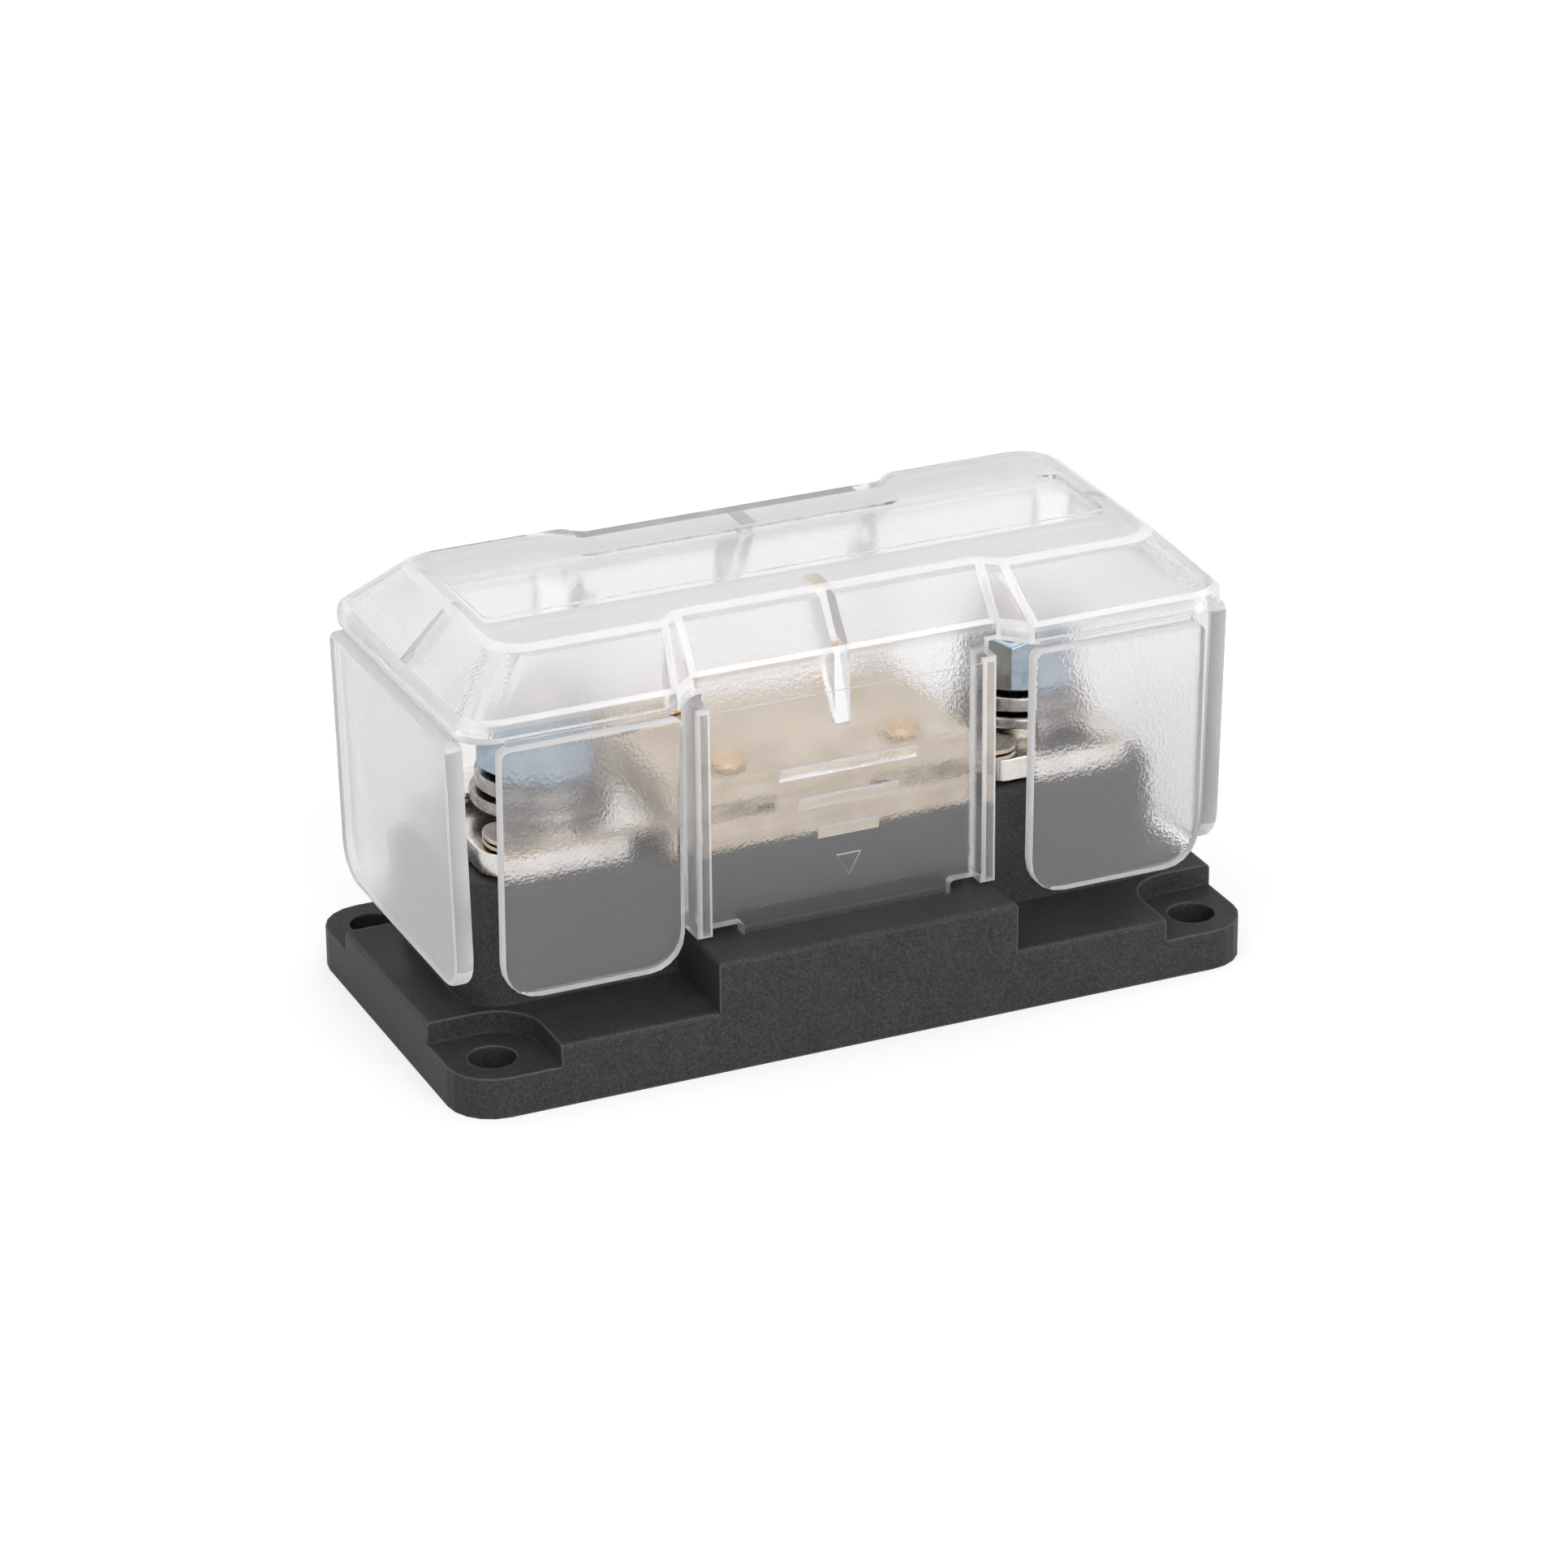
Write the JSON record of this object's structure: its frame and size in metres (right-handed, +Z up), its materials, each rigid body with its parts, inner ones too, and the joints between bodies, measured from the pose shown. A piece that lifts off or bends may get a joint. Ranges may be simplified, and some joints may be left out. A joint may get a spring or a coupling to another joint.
{
  "type": "anl fuse holder",
  "caption": "Black moulded base with two stud terminals and a bolted strip fuse, under a frosted clear cover with break-out flaps that lifts straight off.",
  "frame": {"origin": "centre of the underside, on the surface the holder is screwed to", "axes": "+X along the holder, +Y across it towards the rear in the picture, +Z up"},
  "size_m": [0.1, 0.0494, 0.0527],
  "materials": {
    "moulded_nylon": "fine grained, black",
    "clear_plastic": "glossy outside, frosted inside",
    "tinned_copper": "tin plated, lightly brushed",
    "bright_zinc": "bluish zinc plate, bright",
    "washer_steel": "plain steel, satin",
    "fuse_laminate": "tan laminate with layered edges",
    "rivet_copper": "bare copper"
  },
  "bodies": {
    "holder": {"base": "moulded_nylon", "left_terminal_plate": "tinned_copper", "right_terminal_plate": "tinned_copper", "left_stud": "bright_zinc", "right_stud": "bright_zinc", "left_flat_washer": "washer_steel", "right_flat_washer": "washer_steel", "fuse_link": "tinned_copper", "left_fuse_tab": "tinned_copper", "right_fuse_tab": "tinned_copper", "fuse_bottom_board": "fuse_laminate", "fuse_top_board": "fuse_laminate", "fuse_rivet_left_front": "rivet_copper", "fuse_rivet_left_rear": "rivet_copper", "fuse_rivet_right_front": "rivet_copper", "fuse_rivet_right_rear": "rivet_copper"},
    "cover": {"cover": "clear_plastic"},
    "left_clamp": {"left_spring_washer": "washer_steel"},
    "right_clamp": {"right_spring_washer": "washer_steel"},
    "left_nut": {"left_nut": "bright_zinc"},
    "right_nut": {"right_nut": "bright_zinc"}
  },
  "joints": [
    {"name": "cover_lift", "type": "slide", "parent": "holder", "child": "cover", "axis": [0, 0, 1], "range_m": [0, 0.05]},
    {"name": "left_nut_rise", "type": "slide", "parent": "holder", "child": "left_clamp", "axis": [0, 0, 1], "range_m": [0, 0.0095]},
    {"name": "left_nut_turn", "type": "hinge", "parent": "left_clamp", "child": "left_nut", "pos_m": [-0.0305, 0, 0.0311], "axis": [0, 0, 1], "range_deg": [0, 2700]},
    {"name": "right_nut_rise", "type": "slide", "parent": "holder", "child": "right_clamp", "axis": [0, 0, 1], "range_m": [0, 0.0095]},
    {"name": "right_nut_turn", "type": "hinge", "parent": "right_clamp", "child": "right_nut", "pos_m": [0.0305, 0, 0.0311], "axis": [0, 0, 1], "range_deg": [0, 2700]}
  ],
  "couplings": [
    {"joint": "left_nut_rise", "follows": "left_nut_turn", "m_per_rad": 0.00019894},
    {"joint": "right_nut_rise", "follows": "right_nut_turn", "m_per_rad": 0.00019894}
  ]
}
